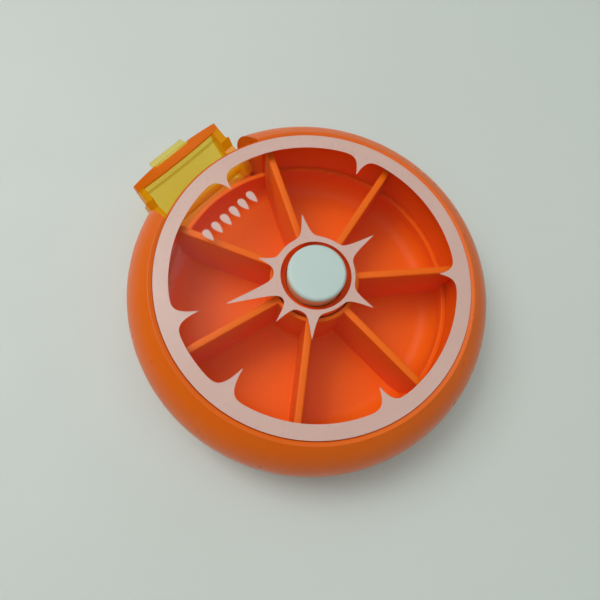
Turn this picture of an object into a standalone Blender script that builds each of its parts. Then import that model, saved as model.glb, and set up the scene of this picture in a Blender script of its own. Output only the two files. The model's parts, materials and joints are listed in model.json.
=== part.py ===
"""Travel pill organizer: a round press-to-turn case with seven compartments.

The case is an orange shell in two halves with a half-round side, closed on top by a clear cover.
A seven-compartment wheel turns inside it. Pressing the centre button slides a plunger down a fixed
hexagonal post, its helical ribs turn a drive ring by one seventh of a turn, and the ring's face
teeth carry the wheel along. Pills leave through the amber bucket door in the side.

Sizes are in millimetres and are turned into metres when a mesh is made. The origin is the centre
of the flat base, +Z is up and the door faces -Y.
"""

import math

import bmesh
import bpy
from mathutils import Matrix, Vector

# ------------------------------------------------------------------ driving dimensions, millimetres
MM = 0.001
GAP = 0.3  # clearance between pieces that touch

BODY_R = 44.0  # outer radius of the case
SIDE_R = 12.5  # radius of the half-round side
SIDE_RING_R = BODY_R - SIDE_R  # radius of the circle that the side's centre runs on
WALL = 1.6  # shell wall
SEAM_Z = SIDE_R  # the two shells part at the widest line
COVER_TOP_Z = 24.0
COVER_THICK = 2.0
COVER_R = 36.5
COVER_HOLE_R = 8.0
SEAT_R = COVER_R + GAP  # wall round the cover
INNER_WALL_R = 35.8  # fixed wall round the wheel
INNER_WALL_THICK = 1.2

COMPARTMENTS = 7
PITCH = 2 * math.pi / COMPARTMENTS
WHEEL_R = 35.4
WHEEL_BOTTOM_Z = 2.8
WHEEL_THICK = 1.2
WHEEL_FLOOR_Z = WHEEL_BOTTOM_Z + WHEEL_THICK
WHEEL_CORNER_R = 6.0  # round between the wheel's floor and its rim
WHEEL_CORNER = (WHEEL_R - WHEEL_CORNER_R, WHEEL_BOTTOM_Z + WHEEL_CORNER_R)  # that round's centre
WHEEL_LIP_Z = 10.6  # sill that the pills pass over
DIVIDER_TOP_Z = 21.5
DIVIDER_THICK = 1.7
HUB_R = 10.4
HUB_BORE_R = 9.4
SHELF_Z = 8.3  # shelf with the ratchet teeth
SHELF_R = 5.2  # hole in the shelf that the plunger passes through
WHEEL_STOP_DEG = -1.5  # where the wheel stands against the door's centre line

POST_R = 2.54  # corner radius of the hexagonal post
POST_TOP_Z = 14.0
BOSS_R = 6.4  # bearing that the wheel turns on
BOSS_BORE_R = 5.4
BOSS_TOP_Z = 5.8
RAIL_R = (24.0, 25.2)  # low rail that the wheel slides on
RAIL_TOP_Z = 2.5
PLUNGER_R = 3.7
PLUNGER_HEAD_R = 5.1
PLUNGER_BOTTOM_Z = 8.0
PLUNGER_TOP_Z = 24.4
PLUNGER_CEILING_Z = 22.0  # top of the hexagonal bore, where the spring pushes
RIB_R = 4.6
RIBS = 3
PRESS = 3.0  # button travel
LEAD = PRESS * COMPARTMENTS  # one press turns the drive ring by one compartment
BUTTON_R = 6.7
BUTTON_EDGE_R = 1.2  # round edge of the button's top
BUTTON_TOP_Z = 26.3
BUTTON_FLANGE_R = 7.7
BUTTON_FLANGE_Z = (19.1, 20.1)
COLLAR_SHELF_Z = 20.4  # underside of the collar that stops the button's flange
COLLAR_BOTTOM_Z = 12.4
DRIVE_R = 8.9
DRIVE_Z = (8.9, 12.1)
TOOTH_DEPTH = 0.8
DENT_RING_R = 9.0  # the wheel's dents and the spring's dimples lie on this circle
SPRING_R = (7.0, 10.6)  # flat steel ring under the wheel
SPRING_Z = (1.9, 2.2)

DOOR_HALF = 14.1  # half width of the door at its hinge end
DOOR_TIP_HALF = 13.4
DOOR_STEP_Z = 17.5  # the door narrows above here
DOOR_BOTTOM_Z = 7.2
DOOR_CORNER_Z = 22.6
DOOR_CROWN = 1.3  # how far the free edge bows out at its middle
DOOR_CHEEK = 1.8
DOOR_RIM_Z = 21.1  # underside of the thick rim along the free edge
DOOR_PANEL = 1.3
DOOR_CREASE = 0.4  # the panel is thicker by this much below its crease
BARREL_R = 1.3  # bar between the cheeks on the hinge line
TAB = (5.4, 2.6, 0.9)  # half width, length and thickness of the finger tab
TAB_TILT_DEG = -47
NOTCH_HALF = 14.9  # half width of the opening in the shells
OUTLET_TOP_Z = 20.75
PIVOT = Vector((0.0, -37.6, 10.3))  # door hinge line, along X
DOOR_OPEN_DEG = 70.0  # the door stands this far open
PIN_R = 0.8
SWING_R = 6.8  # space that the rounded bottom of the bucket swings in

BIG_STEPS = 48
SMALL_STEPS = 24

# --------------------------------------------------------------------------------------- materials
COLOURS = {
    "shell_orange": ((0.62, 0.125, 0.012), 0.35, 0.0, 1.0),
    "wheel_orange": ((0.60, 0.085, 0.010), 0.40, 0.0, 1.0),
    "clear_plastic": ((0.95, 0.93, 0.92), 0.05, 0.0, 0.25),
    "amber_plastic": ((0.85, 0.42, 0.03), 0.08, 0.0, 0.55),
    "white_plastic": ((0.62, 0.72, 0.70), 0.35, 0.0, 1.0),
    "acetal": ((0.80, 0.80, 0.76), 0.40, 0.0, 1.0),
    "spring_steel": ((0.55, 0.55, 0.56), 0.25, 1.0, 1.0),
}


def material(slot):
    """Returns the Principled material of one slot."""
    found = bpy.data.materials.get(slot)
    if found:
        return found
    colour, roughness, metallic, alpha = COLOURS[slot]
    made = bpy.data.materials.new(slot)
    made.use_nodes = True
    shader = made.node_tree.nodes["Principled BSDF"]
    shader.inputs["Base Color"].default_value = (*colour, 1.0)
    shader.inputs["Roughness"].default_value = roughness
    shader.inputs["Metallic"].default_value = metallic
    shader.inputs["Alpha"].default_value = alpha
    return made


# ----------------------------------------------------------------------------------- shape helpers
def arc(centre_r, centre_z, radius, start_deg, end_deg, parts):
    """Returns points on an arc, both ends included."""
    points = []
    for i in range(parts + 1):
        angle = math.radians(start_deg + (end_deg - start_deg) * i / parts)
        points.append((centre_r + radius * math.cos(angle), centre_z + radius * math.sin(angle)))
    return points


def side(radius, start_deg, end_deg, parts):
    """Returns points on the case's half-round side, or on a line inside it."""
    return arc(SIDE_RING_R, SIDE_R, radius, start_deg, end_deg, parts)


def clockwise(points):
    """Orders an outline so that its outer side runs down."""
    area = 0.0
    for (x0, z0), (x1, z1) in zip(points, points[1:] + points[:1]):
        area += x0 * z1 - x1 * z0
    return points if area < 0 else points[::-1]


def place(name, mesh, group, slot=None):
    """Puts a mesh in the scene as one object."""
    made = bpy.data.objects.new(name, mesh)
    group.objects.link(made)
    if slot:
        mesh.materials.append(material(slot))
    return made


def turned(name, points, group, slot=None, steps=BIG_STEPS, on_axis=False):
    """Turns an outline of (radius, height) points about Z."""
    outline = clockwise(points)
    if on_axis and outline[0][0] > 0:
        first = next(i for i, p in enumerate(outline) if p[0] == 0 and outline[i - 1][0] == 0)
        outline = outline[first:] + outline[:first]
    mesh = bpy.data.meshes.new(name)
    verts = [(r * MM, 0.0, z * MM) for r, z in outline]
    edges = [(i, i + 1) for i in range(len(verts) - 1)]
    if not on_axis:
        edges.append((len(verts) - 1, 0))
    mesh.from_pydata(verts, edges, [])
    made = place(name, mesh, group, slot)
    screw = made.modifiers.new("turn", "SCREW")
    screw.steps = steps
    screw.render_steps = steps
    screw.use_merge_vertices = True
    screw.merge_threshold = 0.00001
    screw.use_smooth_shade = True
    return made


def block(name, low, high, group):
    """Makes a box between two corners."""
    mesh = bpy.data.meshes.new(name)
    shape = bmesh.new()
    bmesh.ops.create_cube(shape, size=1.0)
    low, high = Vector(low) * MM, Vector(high) * MM
    size = high - low
    bmesh.ops.scale(shape, vec=size, verts=shape.verts)
    bmesh.ops.translate(shape, vec=(low + high) / 2, verts=shape.verts)
    shape.to_mesh(mesh)
    shape.free()
    return place(name, mesh, group)


def add_rod(shape, radius, length, matrix, sides=SMALL_STEPS):
    """Adds a rod along local Z, from 0 to its length, to a bmesh."""
    lift = Matrix.Translation((0.0, 0.0, length * MM / 2))
    bmesh.ops.create_cone(shape, cap_ends=True, segments=sides, radius1=radius * MM,
                          radius2=radius * MM, depth=length * MM, matrix=matrix @ lift)


def rod(name, radius, low_z, high_z, group, sides=SMALL_STEPS):
    """Makes an upright rod on the case's axis."""
    mesh = bpy.data.meshes.new(name)
    shape = bmesh.new()
    base = Matrix.Translation((0.0, 0.0, low_z * MM))
    add_rod(shape, radius, high_z - low_z, base, sides)
    shape.to_mesh(mesh)
    shape.free()
    return place(name, mesh, group)


def plate(name, outline, thickness, group):
    """Makes a flat plate from an outline of (x, z) points, standing in the XZ plane."""
    curve = bpy.data.curves.new(name + "_outline", "CURVE")
    curve.dimensions = "2D"
    curve.fill_mode = "BOTH"
    curve.extrude = thickness * MM / 2
    spline = curve.splines.new("POLY")
    spline.points.add(len(outline) - 1)
    for point, (x, z) in zip(spline.points, outline):
        point.co = (x * MM, z * MM, 0.0, 1.0)
    spline.use_cyclic_u = True
    flat = place_curve(name, curve, group)
    flat.rotation_euler.x = math.pi / 2
    return to_mesh_object(flat, group)


def place_curve(name, curve, group):
    """Puts a curve in the scene as one object."""
    made = bpy.data.objects.new(name + "_curve", curve)
    group.objects.link(made)
    return made


def to_mesh_object(source, group, slot=None):
    """Turns a curve object into a welded mesh object of the same place."""
    bpy.context.view_layer.update()
    depsgraph = bpy.context.evaluated_depsgraph_get()
    mesh = bpy.data.meshes.new_from_object(source.evaluated_get(depsgraph))
    shape = bmesh.new()
    shape.from_mesh(mesh)
    bmesh.ops.remove_doubles(shape, verts=shape.verts, dist=0.000001)
    bmesh.ops.recalc_face_normals(shape, faces=shape.faces)
    shape.to_mesh(mesh)
    shape.free()
    made = place(source.name.replace("_curve", ""), mesh, group, slot)
    made.matrix_world = source.matrix_world
    bpy.data.objects.remove(source)
    return made


def boolean(target, other, operation):
    """Adds one Boolean modifier."""
    step = target.modifiers.new(operation.lower() + "_" + other.name, "BOOLEAN")
    step.operation = operation
    step.solver = "EXACT"
    step.object = other


def cut(target, other):
    boolean(target, other, "DIFFERENCE")


def join(target, other):
    boolean(target, other, "UNION")


def keep(target, other):
    boolean(target, other, "INTERSECT")


def turn(angle, radius=0.0, height=0.0):
    """Returns a place at an angle round the case's axis, with local +X pointing out."""
    return Matrix.Rotation(angle, 4, "Z") @ Matrix.Translation((radius * MM, 0.0, height * MM))


# ------------------------------------------------------------------------------------ fixed pieces
def pivot_rods(name, group, radius, inner, outer):
    """Makes a rod on each side of the door on its hinge line."""
    mesh = bpy.data.meshes.new(name)
    shape = bmesh.new()
    for facing in (-1, 1):
        start = Matrix.Translation((facing * inner * MM, PIVOT.y * MM, PIVOT.z * MM))
        lay = Matrix.Rotation(facing * math.pi / 2, 4, "Y")
        add_rod(shape, radius, outer - inner, start @ lay, sides=16)
    shape.to_mesh(mesh)
    shape.free()
    return place(name, mesh, group)


def door_swing(group):
    """Makes the space that the bucket's rounded bottom swings through."""
    mesh = bpy.data.meshes.new("door_swing")
    shape = bmesh.new()
    start = Matrix.Translation((-NOTCH_HALF * MM, PIVOT.y * MM, PIVOT.z * MM))
    add_rod(shape, SWING_R, 2 * NOTCH_HALF, start @ Matrix.Rotation(math.pi / 2, 4, "Y"), sides=48)
    shape.to_mesh(mesh)
    shape.free()
    return place("door_swing", mesh, group)


def lower_shell(parts, tools):
    """The bowl: floor, lower half of the round side, wheel bearing and hexagonal post."""
    inner = SIDE_R - WALL
    seam = SEAM_Z - GAP / 2
    outline = [(0.0, 0.0), (SIDE_RING_R, 0.0)]
    outline += side(SIDE_R, -81, -6, 9)
    outline += [(BODY_R, seam), (BODY_R - WALL, seam)]
    outline += side(inner, -6, -80, 7)
    outline += [(SIDE_RING_R, WALL)]
    rail_in, rail_out = RAIL_R
    outline += [(rail_out, WALL), (rail_out, RAIL_TOP_Z), (rail_in, RAIL_TOP_Z), (rail_in, WALL)]
    outline += [(BOSS_R, WALL), (BOSS_R, BOSS_TOP_Z), (BOSS_BORE_R, BOSS_TOP_Z)]
    outline += [(BOSS_BORE_R, WALL)]
    outline += [(0.0, WALL)]
    shell = turned("lower_shell", outline, parts, "shell_orange", on_axis=True)
    join(shell, rod("post_stock", POST_R, WALL / 2, POST_TOP_Z, tools, sides=6))
    cut(shell, door_swing(tools))
    return shell


def hinge_web(name, facing, group):
    """Makes the upright plate beside the door that holds one of its pins."""
    inner = SIDE_R - WALL
    outline = [(INNER_WALL_R + 0.4, 19.5), (INNER_WALL_R + 0.4, 6.6)]
    outline += side(inner - 0.7, -33, -4, 4)
    outline += side(inner + 0.6, 12, 40, 4)
    web = turned(name, outline, group, steps=60)
    near, far = sorted((facing * (NOTCH_HALF - 0.5), facing * (NOTCH_HALF + 1.3)))
    keep(web, block(name + "_slab", (near, -50, 0), (far, -20, 30), group))
    return web


def door_notch(bridge_r, group):
    """Makes the space for the door and the outlet; a bridge under the cover's edge stays."""
    outline = [(30, -1), (60, -1), (60, 31), (bridge_r, 31), (bridge_r, OUTLET_TOP_Z)]
    outline += [(30, OUTLET_TOP_Z)]
    notch = turned("door_notch", outline, group)
    keep(notch, block("door_notch_width", (-NOTCH_HALF, -61, -2), (NOTCH_HALF, -20, 32), group))
    return notch


def upper_shell(parts, tools):
    """The rim: upper half of the round side, cover seat, wall round the wheel and door notch."""
    inner = SIDE_R - WALL
    seam = SEAM_Z + GAP / 2
    rim_z = COVER_TOP_Z - 0.2
    lip_r, lip_low_z = BODY_R - 2.1, 10.9  # lip inside the seam that finds the lower shell
    outline = [(SEAT_R + 0.15, rim_z), (SEAT_R + 0.8, rim_z)]
    outline += side(SIDE_R, 57, 4, 8)
    outline += [(BODY_R, seam), (lip_r, seam), (lip_r, lip_low_z), (lip_r - 1.0, lip_low_z)]
    outline += [(lip_r - 1.0, 13.0)]
    outline += side(inner, 9, 51, 5)
    outer_wall_r = INNER_WALL_R + INNER_WALL_THICK
    outline += [(outer_wall_r, 20.9), (outer_wall_r, 3.9), (INNER_WALL_R, 3.9)]
    seat_z = COVER_TOP_Z - COVER_THICK - GAP
    outline += [(INNER_WALL_R, seat_z), (SEAT_R, seat_z), (SEAT_R, rim_z - 0.15)]
    shell = turned("upper_shell", outline, parts, "shell_orange")
    for facing, name in ((-1, "web_left"), (1, "web_right")):
        join(shell, hinge_web(name, facing, tools))
    cut(shell, door_notch(outer_wall_r + 0.07, tools))
    cut(shell, pivot_rods("pin_holes", tools, PIN_R + 0.2, NOTCH_HALF - 0.6, NOTCH_HALF + 2.0))
    return shell


def clear_cover(parts):
    """The clear disc that is snapped into the rim, with a hole for the button."""
    low = COVER_TOP_Z - COVER_THICK
    outline = [(COVER_HOLE_R, low), (COVER_R, low), (COVER_R, COVER_TOP_Z - 0.3)]
    outline += [(COVER_R - 0.3, COVER_TOP_Z), (COVER_HOLE_R + 0.2, COVER_TOP_Z)]
    outline += [(COVER_HOLE_R, COVER_TOP_Z - 0.2)]
    return turned("clear_cover", outline, parts, "clear_plastic")


def index_spring(parts, tools):
    """The thin steel ring under the wheel whose two dimples click into the wheel's seven dents."""
    (inner, outer), (low, top) = SPRING_R, SPRING_Z
    outline = [(inner, low), (outer, low), (outer, top), (inner, top)]
    ring = turned("index_spring", outline, parts, "spring_steel", steps=SMALL_STEPS)
    mesh = bpy.data.meshes.new("dimples")
    shape = bmesh.new()
    for i in range(2):
        spot = turn(dent_angle(i * 3), DENT_RING_R, top + 0.1)
        bmesh.ops.create_uvsphere(shape, u_segments=8, v_segments=6, radius=0.75 * MM, matrix=spot)
    shape.to_mesh(mesh)
    shape.free()
    join(ring, place("dimples", mesh, tools))
    reach = outer + 1.0
    keep(ring, block("dimple_floor", (-reach, -reach, low), (reach, reach, top + 2.0), tools))
    return ring


# ------------------------------------------------------------------------------------------- wheel
def divider_angle(i):
    """Returns the angle of one of the wheel's dividers."""
    centre_of_door = -math.pi / 2
    return centre_of_door + math.radians(WHEEL_STOP_DEG) + (i + 0.5) * PITCH


def dent_angle(i):
    return divider_angle(i) + PITCH / 2


def dividers(tools):
    """Makes the seven upright walls, each rounded at the bottom like the wheel's rim."""
    sunk = WHEEL_THICK / 2  # the wall's foot and inner end sink this far into the wheel
    corner_r, corner_z = WHEEL_CORNER
    end_r = WHEEL_R - sunk
    outline = [(HUB_R - sunk, WHEEL_FLOOR_Z - sunk), (corner_r, WHEEL_FLOOR_Z - sunk)]
    outline += arc(corner_r, corner_z, WHEEL_CORNER_R - sunk, -78, 0, 5)
    outline += [(end_r, DIVIDER_TOP_Z - 0.5), (end_r - 0.5, DIVIDER_TOP_Z)]
    outline += [(HUB_R - sunk, DIVIDER_TOP_Z)]
    wall = plate("divider", outline, DIVIDER_THICK, tools)
    shape = bmesh.new()
    for i in range(COMPARTMENTS):
        start = len(shape.verts)
        shape.from_mesh(wall.data)
        shape.verts.ensure_lookup_table()
        matrix = Matrix.Rotation(divider_angle(i), 4, "Z") @ wall.matrix_world
        bmesh.ops.transform(shape, matrix=matrix, verts=shape.verts[start:])
    mesh = bpy.data.meshes.new("dividers")
    shape.to_mesh(mesh)
    shape.free()
    bpy.data.objects.remove(wall)
    return place("dividers", mesh, tools)


def saw_teeth(name, height, group, offset=0.0):
    """Makes seven wedges that cut sloping tooth gaps into a flat ring face."""
    wedge = (2.6 * MM, 5.4 * MM, 2 * TOOTH_DEPTH * MM)
    tooth_ring_r, tooth_run = 7.6, 5.0
    mesh = bpy.data.meshes.new(name)
    shape = bmesh.new()
    for i in range(COMPARTMENTS):
        start = len(shape.verts)
        bmesh.ops.create_cube(shape, size=1.0)
        shape.verts.ensure_lookup_table()
        verts = shape.verts[start:]
        bmesh.ops.scale(shape, vec=wedge, verts=verts)
        slope = Matrix.Rotation(math.atan2(TOOTH_DEPTH, tooth_run), 4, "X")
        spot = turn(dent_angle(i) + offset, tooth_ring_r, height)
        bmesh.ops.transform(shape, matrix=spot @ slope, verts=verts)
    shape.to_mesh(mesh)
    shape.free()
    return place(name, mesh, group)


def wheel_dents(tools):
    """Makes the seven dents under the wheel that the index spring clicks into."""
    mesh = bpy.data.meshes.new("wheel_dents")
    shape = bmesh.new()
    for i in range(COMPARTMENTS):
        spot = turn(dent_angle(i), DENT_RING_R, WHEEL_BOTTOM_Z - 0.4)
        bmesh.ops.create_cone(shape, cap_ends=True, segments=8, radius1=1.5 * MM,
                              radius2=0.6 * MM, depth=2.0 * MM, matrix=spot)
    shape.to_mesh(mesh)
    shape.free()
    return place("wheel_dents", mesh, tools)


def pill_wheel(parts, tools):
    """The seven-compartment wheel with its hub."""
    bore = BOSS_R + GAP
    shelf_low_z = SHELF_Z - 1.5
    corner_r, corner_z = WHEEL_CORNER
    outline = [(bore, WHEEL_BOTTOM_Z), (corner_r, WHEEL_BOTTOM_Z)]
    outline += arc(corner_r, corner_z, WHEEL_CORNER_R, -78, 0, 5)
    outline += [(WHEEL_R, WHEEL_LIP_Z), (WHEEL_R - 0.9, WHEEL_LIP_Z)]
    outline += arc(corner_r, corner_z, WHEEL_CORNER_R - WHEEL_THICK, 0, -78, 5)
    outline += [(corner_r, WHEEL_FLOOR_Z), (HUB_R + 1.0, WHEEL_FLOOR_Z)]
    outline += [(HUB_R, WHEEL_FLOOR_Z + 1.0)]
    outline += [(HUB_R, DIVIDER_TOP_Z), (HUB_BORE_R, DIVIDER_TOP_Z), (HUB_BORE_R, SHELF_Z)]
    outline += [(SHELF_R, SHELF_Z), (SHELF_R, shelf_low_z), (bore, shelf_low_z)]
    wheel = turned("pill_wheel", outline, parts, "wheel_orange")
    join(wheel, dividers(tools))
    cut(wheel, saw_teeth("wheel_teeth", SHELF_Z + 0.8 - TOOTH_DEPTH / 2, tools))
    cut(wheel, wheel_dents(tools))
    return wheel


def hub_cap(parts):
    """The orange collar that is pressed into the hub round the button and keeps it in."""
    top = COVER_TOP_Z - COVER_THICK - GAP
    outer = HUB_BORE_R - GAP
    sleeve = outer - 1.0
    outline = [(outer, COLLAR_BOTTOM_Z), (outer, top), (BUTTON_R + GAP, top)]
    outline += [(BUTTON_R + GAP, COLLAR_SHELF_Z), (sleeve, COLLAR_SHELF_Z)]
    outline += [(sleeve, COLLAR_BOTTOM_Z)]
    return turned("hub_cap", outline, parts, "wheel_orange", steps=SMALL_STEPS)


# ---------------------------------------------------------------------------- button and mechanism
def push_button(parts):
    """The white cap that a thumb presses, hollow underneath, with a flange that keeps it in."""
    inner = PLUNGER_HEAD_R + GAP
    ceiling_z = PLUNGER_TOP_Z + GAP
    flange_low_z, flange_top_z = BUTTON_FLANGE_Z
    edge_r = BUTTON_R - BUTTON_EDGE_R
    outline = [(0.0, ceiling_z), (inner, ceiling_z), (inner, flange_low_z)]
    outline += [(BUTTON_FLANGE_R, flange_low_z), (BUTTON_FLANGE_R, flange_top_z)]
    outline += [(BUTTON_R, flange_top_z)]
    outline += arc(edge_r, BUTTON_TOP_Z - BUTTON_EDGE_R - 0.1, BUTTON_EDGE_R, 0, 80, 5)
    outline += [(0.0, BUTTON_TOP_Z)]
    return turned("push_button", outline, parts, "white_plastic", steps=BIG_STEPS, on_axis=True)


def twist(shape):
    """Turns each point about Z in step with its height, one turn per lead."""
    for vert in shape.verts:
        spin = Matrix.Rotation(2 * math.pi * vert.co.z / (LEAD * MM), 4, "Z")
        vert.co = spin @ vert.co


def helical_ribs(name, inner, outer, width, low_z, high_z, group):
    """Makes the helical ribs of the plunger, or the wider cutters of the grooves they run in."""
    size = (outer - inner, width, high_z - low_z)
    middle = ((outer + inner) / 2, 0.0, (high_z + low_z) / 2)
    mesh = bpy.data.meshes.new(name)
    shape = bmesh.new()
    for i in range(RIBS):
        start = len(shape.verts)
        bmesh.ops.create_cube(shape, size=MM)
        shape.verts.ensure_lookup_table()
        verts = shape.verts[start:]
        bmesh.ops.scale(shape, vec=size, verts=verts)
        bmesh.ops.translate(shape, vec=Vector(middle) * MM, verts=verts)
        around = Matrix.Rotation(2 * math.pi * i / RIBS, 4, "Z")
        bmesh.ops.transform(shape, matrix=around, verts=verts)
    upright = [e for e in shape.edges if abs(e.verts[0].co.z - e.verts[1].co.z) > MM]
    bmesh.ops.subdivide_edges(shape, edges=upright, cuts=14, use_grid_fill=True)
    twist(shape)
    shape.to_mesh(mesh)
    shape.free()
    return place(name, mesh, group)


def plunger(parts, tools):
    """The shaft under the button: keyed on the post, with three helical ribs outside."""
    neck_z = PLUNGER_TOP_Z - 1.8
    outline = [(0.0, PLUNGER_BOTTOM_Z), (PLUNGER_R, PLUNGER_BOTTOM_Z), (PLUNGER_R, neck_z)]
    outline += [(PLUNGER_HEAD_R, neck_z + 0.3), (PLUNGER_HEAD_R, PLUNGER_TOP_Z)]
    outline += [(0.0, PLUNGER_TOP_Z)]
    shaft = turned("plunger", outline, parts, "acetal", steps=SMALL_STEPS, on_axis=True)
    join(shaft, helical_ribs("ribs", PLUNGER_R - 0.5, RIB_R, 1.2, 8.3, 18.0, tools))
    bore_r = POST_R + GAP / math.cos(math.pi / 6)
    cut(shaft, rod("hex_bore", bore_r, PLUNGER_BOTTOM_Z - 1, PLUNGER_CEILING_Z, tools, sides=6))
    return shaft


def drive_ring(parts, tools):
    """The ring that the plunger's ribs turn; its face teeth carry the wheel one way."""
    low, high = DRIVE_Z
    bore = PLUNGER_R + GAP
    outline = [(bore, low), (DRIVE_R, low), (DRIVE_R, high), (bore, high)]
    ring = turned("drive_ring", outline, parts, "acetal", steps=SMALL_STEPS)
    cut(ring, helical_ribs("grooves", bore - 1.0, RIB_R + GAP, 1.8, low - 1, high + 1, tools))
    cut(ring, saw_teeth("ring_teeth", low - 0.8 + TOOTH_DEPTH / 2, tools, PITCH / 2))
    return ring


def return_spring(parts, tools):
    """The compression spring between the post's top and the plunger's ceiling."""
    turns, coil_r, wire_r = 6, 1.85, 0.3
    low, high = POST_TOP_Z + wire_r + 0.35, PLUNGER_CEILING_Z - wire_r - 0.35
    per_turn = 12
    curve = bpy.data.curves.new("return_spring", "CURVE")
    curve.dimensions = "3D"
    curve.bevel_depth = wire_r * MM
    curve.bevel_resolution = 1
    curve.use_fill_caps = True
    spline = curve.splines.new("POLY")
    count = turns * per_turn + 1
    spline.points.add(count - 1)
    for i, point in enumerate(spline.points):
        angle = 2 * math.pi * i / per_turn
        height = low + (high - low) * i / (count - 1)
        x, y = coil_r * math.cos(angle), coil_r * math.sin(angle)
        point.co = (x * MM, y * MM, height * MM, 1.0)
    wire = place_curve("return_spring", curve, tools)
    return to_mesh_object(wire, parts, "spring_steel")


# -------------------------------------------------------------------------------------------- door
def door_outline(tools):
    """Makes the door's front view, as a thick plate that the door is kept inside."""
    narrow_z = DOOR_STEP_Z + 0.6
    outline = [(-DOOR_HALF, DOOR_BOTTOM_Z), (DOOR_HALF, DOOR_BOTTOM_Z), (DOOR_HALF, DOOR_STEP_Z)]
    outline += [(DOOR_TIP_HALF, narrow_z)]
    parts = 8
    for i in range(parts + 1):
        x = DOOR_TIP_HALF * (1 - 2 * i / parts)
        outline.append((x, DOOR_CORNER_Z + DOOR_CROWN * (1 - (x / DOOR_TIP_HALF) ** 2)))
    outline += [(-DOOR_TIP_HALF, narrow_z), (-DOOR_HALF, DOOR_STEP_Z)]
    view = plate("door_outline", outline, 30, tools)
    view.location.y = -40 * MM
    return view


def door_stock():
    """Returns the outline of the door's full depth, seen along the rim."""
    outline = [(37.8, 25.0), (37.8, 17.6), (39.6, 15.6), (38.3, 12.2), (37.9, 10.3), (38.4, 8.6)]
    outline += [(39.6, 7.4), (40.6, 5.0)]
    outline += side(SIDE_R, -37, 51, 16)
    outline += [(39.3, 22.3), (39.4, 25.0)]
    return outline


def door_hollow():
    """Returns the outline of the space inside the bucket, with a crease across the panel."""
    inner = SIDE_R - DOOR_PANEL
    outline = [(30.0, DOOR_RIM_Z + 0.1), (38.2, DOOR_RIM_Z)]
    outline += side(inner, 48, 42, 2)
    outline += side(inner - DOOR_CREASE, 39, -42, 14)
    outline += [(30.0, 4.0)]
    return outline


def tab(tools):
    """Makes the small finger tab at the middle of the door's free edge."""
    half, length, thick = TAB
    out = -1.6  # the tab's outer end, from the place that it is turned about
    made = block("door_tab_stock", (-half, out, -thick / 2), (half, out + length, thick / 2), tools)
    made.rotation_euler.x = math.radians(TAB_TILT_DEG)
    made.location = Vector((0.0, -40.2, 24.2)) * MM
    return made


def barrel(tools):
    """Makes the bar on the hinge line that joins the cheeks and forms the outlet's sill."""
    mesh = bpy.data.meshes.new("door_barrel")
    shape = bmesh.new()
    half = DOOR_HALF - DOOR_CHEEK / 2
    start = Matrix.Translation((-half * MM, PIVOT.y * MM, PIVOT.z * MM))
    add_rod(shape, BARREL_R, 2 * half, start @ Matrix.Rotation(math.pi / 2, 4, "Y"), sides=16)
    shape.to_mesh(mesh)
    shape.free()
    return place("door_barrel", mesh, tools)


def outlet_door(parts, tools):
    """The amber bucket: modelled closed, on an empty at its hinge line that holds it open."""
    hinge = bpy.data.objects.new("door_hinge", None)
    parts.objects.link(hinge)
    before = set(bpy.data.objects)
    door = turned("outlet_door", door_stock(), parts, "amber_plastic")
    keep(door, door_outline(tools))
    hollow = turned("door_hollow", door_hollow(), tools)
    width = DOOR_TIP_HALF - DOOR_CHEEK
    keep(hollow, block("door_hollow_width", (-width, -61, 0), (width, -20, 31), tools))
    cut(door, hollow)
    join(door, tab(tools))
    join(door, barrel(tools))
    join(door, pivot_rods("door_pins", tools, PIN_R, DOOR_HALF - 1.0, NOTCH_HALF + 1.0))
    bpy.context.view_layer.update()
    for piece in set(bpy.data.objects) - before:
        piece.parent = hinge
        piece.matrix_parent_inverse = Matrix.Translation(-PIVOT * MM)
    hinge.location = PIVOT * MM
    hinge.rotation_euler.x = math.radians(DOOR_OPEN_DEG)
    return door


# ------------------------------------------------------------------------------------------- build
def clear_scene():
    for item in list(bpy.data.objects):
        bpy.data.objects.remove(item)


def collection(name):
    made = bpy.data.collections.new(name)
    bpy.context.scene.collection.children.link(made)
    return made


def main():
    clear_scene()
    parts = collection("travel_pill_organizer")
    tools = collection("cutters")
    lower_shell(parts, tools)
    upper_shell(parts, tools)
    clear_cover(parts)
    index_spring(parts, tools)
    pill_wheel(parts, tools)
    hub_cap(parts)
    push_button(parts)
    plunger(parts, tools)
    drive_ring(parts, tools)
    return_spring(parts, tools)
    outlet_door(parts, tools)
    for tool in tools.objects:
        tool.hide_render = True
        tool.display_type = "WIRE"


main()
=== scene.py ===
"""The looks of the travel pill organizer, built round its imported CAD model.

The case, cover, wheel, door and button are turned and cut again here with fine outlines and rounded
edges, the citrus-slice print is laid on the cover, and every piece gets a procedural material.
Outlines are in millimetres and become metres when a mesh is made. Places come from the CAD nodes'
boxes and joints.
"""

import json
import math

import bmesh
import bpy
from mathutils import Matrix, Vector


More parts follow.
